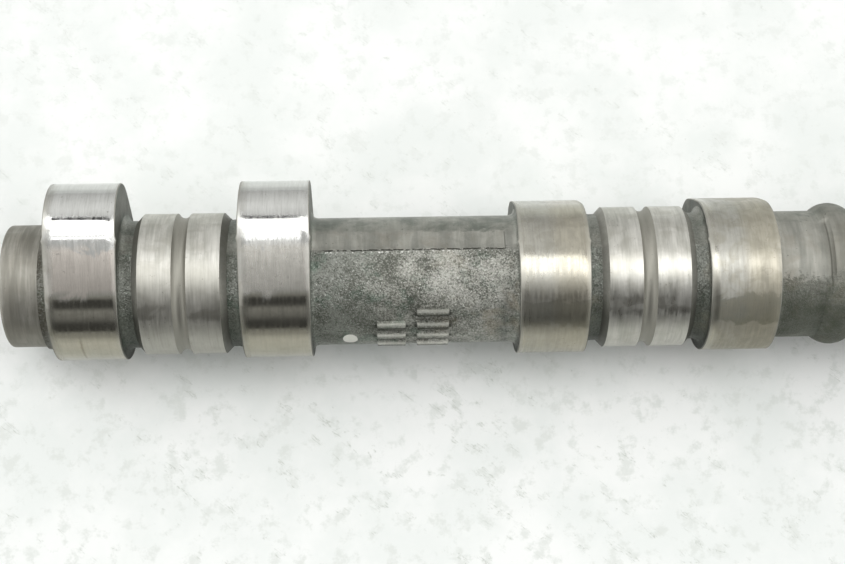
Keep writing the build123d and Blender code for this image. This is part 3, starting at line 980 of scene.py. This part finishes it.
def turned_end(tree):
    """The turned stub and drive end: matt, with streaks round them."""
    lines = place_group(tree, GRINDING_LINES, Lines_per_mm=2.2, Packet_size=2.2)
    film = place_group(tree, OIL_FILM, Cover=0.5, Border=0.15, Cloud_size=4.0)
    colour = blend(lines["Bands"], (0.285, 0.277, 0.245), (0.41, 0.4, 0.36))
    colour = tint(colour, (0.26, 0.245, 0.205), film["Film"], 0.4)
    colour = tint(colour, (0.19, 0.18, 0.15), guide(tree, "under"), 0.5)
    colour = tint(colour, (0.16, 0.155, 0.13), lines["Streaks"], 0.42)
    colour = worn_track(colour, lines, film, 0.35, 0.1)
    roughness = linear(lines["Lines"], 0.2, 0.45)
    return colour, roughness, lines["Lines"], 0.04, 0.35


# each zone's finish, the name of its material and how metallic it is
FINISHES = {
    "turned": (turned_end, "turned_iron", 1.0),
    "cast": (cast_skin, "cast_skin_iron", 1.0),
    "cast_side": (cast_side, "cast_side_iron", 0.75),
    "ground_lobe": (ground_lobe, "ground_lobe_iron", 1.0),
    "ground_journal": (ground_journal, "ground_journal_iron", 1.0),
    "groove": (groove_floor, "oil_groove_iron", 1.0),
    "edge": (worn_edge, "worn_edge_iron", 0.6),
}

SHARP_ANGLE = 32


def in_scene(name, data):
    """A new object in the scene."""
    added = bpy.data.objects.new(name, data)
    bpy.context.scene.collection.objects.link(added)
    return added


mesh, zones = shaft_mesh(shaft_skin())
for zone in zones:
    mesh.materials.append(finished(*FINISHES[zone]))
mesh.set_sharp_from_angle(angle=math.radians(SHARP_ANGLE))

camshaft = in_scene("camshaft_body", mesh)
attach(camshaft, "root")
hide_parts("camshaft")


# ---- table, light and camera ----
TABLE_REACH = 6.0
FRAME_WIDTH = 0.02
CLOTH_BLACK = (0.03, 0.03, 0.03, 1)
CORNERS = ((-1, -1), (1, -1), (1, 1), (-1, 1))


def white_table():
    """A large pale table top under the shaft."""
    height = CAD_BOX[0].z
    top = bpy.data.meshes.new("table_top")
    corners = [(x * TABLE_REACH, y * TABLE_REACH, height) for x, y in CORNERS]
    top.from_pydata(corners, [], [(0, 1, 2, 3)])
    material, tree, shader = plain_material("white_table", 0.0)
    place = object_place(tree)
    smudge = noise_at(place, 0.05, 5.0, 0.6)
    patches = noise_at(place, 0.3, 4.0, 0.65)
    turned = put(tree, "ShaderNodeVectorRotate", {"rotation_type": "Z_AXIS"}, Vector=place, Angle=0.7)
    slanted = vector_calc("MULTIPLY", turned.outputs[0], (0.025, 0.16, 1.0))
    scratch = noise_at(slanted, 1.0, 5.0, 0.65, 0.3)
    scratch = step_up(calc("ABSOLUTE", calc("SUBTRACT", scratch, 0.56)), 0.006, 0.001)
    scratch = times(scratch, step_up(patches, 0.48, 0.6))
    specks = step_up(noise_at(place, 0.8, 3.0, 0.7), 0.7, 0.76)
    colour = blend(step_up(smudge, 0.35, 0.65), (0.675, 0.7, 0.68), (0.745, 0.757, 0.742))
    deep = axes_of(place)["Y"]
    grimy = step_up(deep, 0.0, -30.0, 0.7, 1.25)
    colour = tint(colour, (0.59, 0.615, 0.585), step_up(patches, 0.5, 0.68, 0.0, 0.65), grimy)
    colour = tint(colour, (0.38, 0.4, 0.35), specks, 0.45, grimy)
    colour = tint(colour, (0.33, 0.36, 0.31), scratch, 0.4, grimy)
    # the table falls off into shade on its near side, and a little behind the shaft
    near = step_up(deep, -55.0, -170.0)
    far = step_up(deep, 75.0, 190.0, 0.0, 0.3)
    colour = tint(colour, (0.1, 0.1, 0.1), linear(near, 0.5, far))
    tree.links.new(colour, shader.inputs["Base Color"])
    shader.inputs["Roughness"].default_value = 0.45
    top.materials.append(material)
    in_scene("table_top", top)


# the room by height in degrees, from low on the near side over the top to low behind, with its light
ROOM = (
    (-110, 0.14), (-92, 0.12), (-87, 0.07), (-76, 0.07), (-66, 0.22), (-55, 0.3),
    (-49, 0.07), (-38, 0.06), (-34, 0.42), (-12, 0.64), (28, 0.8), (45, 0.93),
    (60, 0.85), (75, 0.7), (90, 0.58), (110, 0.5),
)
ROOM_SIDES = 1.9


def room():
    """The room's light by direction: pale behind the shaft and above it, darker on the near side."""
    world = bpy.data.worlds.new("room")
    bpy.context.scene.world = world
    world.use_nodes = True
    tree = world.node_tree
    direction = put(tree, "ShaderNodeTexCoord").outputs["Generated"]
    axes = axes_of(direction)
    tilt = calc("ARCTAN2", axes["Y"], axes["Z"])
    share = linear(tilt, 0.5 / math.pi, 0.5)
    stops = put(tree, "ShaderNodeValToRGB", Fac=share)
    ramp_stops = stops.color_ramp
    ramp_stops.elements[0].position = ROOM[0][0] / 360 + 0.5
    ramp_stops.elements[1].position = ROOM[-1][0] / 360 + 0.5
    for angle, _ in ROOM[1:-1]:
        ramp_stops.elements.new(angle / 360 + 0.5)
    for element, (_, value) in zip(ramp_stops.elements, ROOM):
        element.color = (value, value, value * 0.98, 1)
    sideways = step_up(calc("ABSOLUTE", axes["X"]), 0.5, 0.8)
    light = blend(sideways, stops.outputs["Color"], (ROOM_SIDES, ROOM_SIDES, ROOM_SIDES))
    tree.links.new(light, tree.nodes["Background"].inputs["Color"])


def softbox(name, middle, length, width, turn, energy, framed=True):
    """An overhead lamp, framed in dark cloth or bare; the turn is about the vertical, in degrees."""
    light = bpy.data.lights.new(name, "AREA")
    light.shape = "RECTANGLE"
    light.size, light.size_y = length, width
    light.energy = energy
    place = Matrix.Translation(middle) @ Matrix.Rotation(math.radians(turn), 4, "Z")
    in_scene(name, light).matrix_world = place
    if framed:
        reaches = [(length / 2 + grow, width / 2 + grow) for grow in (0.0, FRAME_WIDTH)]
        corners = [(x * reach_x, y * reach_y, 0) for reach_x, reach_y in reaches for x, y in CORNERS]
        sides = [(i, (i + 1) % 4, (i + 1) % 4 + 4, i + 4) for i in range(4)]
        dark_cloth(name + "_frame", corners, sides, place)


def lamp_flag(middle, length, width, turn):
    """A dark cloth panel that trims the far edge of the overhead lamp."""
    place = Matrix.Translation(middle) @ Matrix.Rotation(math.radians(turn), 4, "Z")
    dark_cloth("lamp_flag", [(x * length / 2, y * width / 2, 0) for x, y in CORNERS], [(0, 1, 2, 3)], place)


def dark_cloth(name, corners, faces, place):
    """Black cloth for the lamps' frames and panels."""
    cloth = bpy.data.meshes.new(name)
    cloth.from_pydata(corners, [], faces)
    cloth.transform(place)
    material, _, shader = plain_material(name + "_cloth", 0.0)
    shader.inputs["Base Color"].default_value = CLOTH_BLACK
    cloth.materials.append(material)
    in_scene(name, cloth)


white_table()
room()
softbox("overhead_softbox", (0.06, 0.128, 1.0), 2.6, 0.475, -24, 9.2)
softbox("left_lamp", (-0.225, -0.105, 0.97), 0.13, 0.19, 0, 0.17, framed=False)
softbox("left_strip", (-0.225, -0.262, 0.97), 0.13, 0.06, 0, 0.046, framed=False)
softbox("middle_lamp", (-0.056, -0.208, 0.97), 0.115, 0.255, 0, 0.19, framed=False)
lamp_flag((-0.16, 0.4, 0.98), 0.34, 0.13, -24)

CAMERA_TARGET = Vector((45.38, -0.42, -0.11)) * MM
CAMERA_DISTANCE = 299.8 * MM
CAMERA_SENSOR, CAMERA_LENS = 36.0, 66.03
CAMERA_AZIMUTH, CAMERA_ELEVATION, CAMERA_ROLL = -5.277, 74.96, 4.158
camera_data = bpy.data.cameras.new("camera")
camera_data.sensor_width, camera_data.lens = CAMERA_SENSOR, CAMERA_LENS
camera_data.clip_start = 0.01
camera = in_scene("camera", camera_data)
azimuth, elevation = math.radians(CAMERA_AZIMUTH), math.radians(CAMERA_ELEVATION)
back = Vector(
    (math.sin(azimuth) * math.cos(elevation), -math.cos(azimuth) * math.cos(elevation), math.sin(elevation))
)
facing = (-back).to_track_quat("-Z", "Y").to_matrix() @ Matrix.Rotation(math.radians(CAMERA_ROLL), 3, "Z")
camera.matrix_world = Matrix.Translation(CAMERA_TARGET + back * CAMERA_DISTANCE) @ facing.to_4x4()
bpy.context.scene.camera = camera
bpy.context.scene.view_settings.view_transform = "Standard"
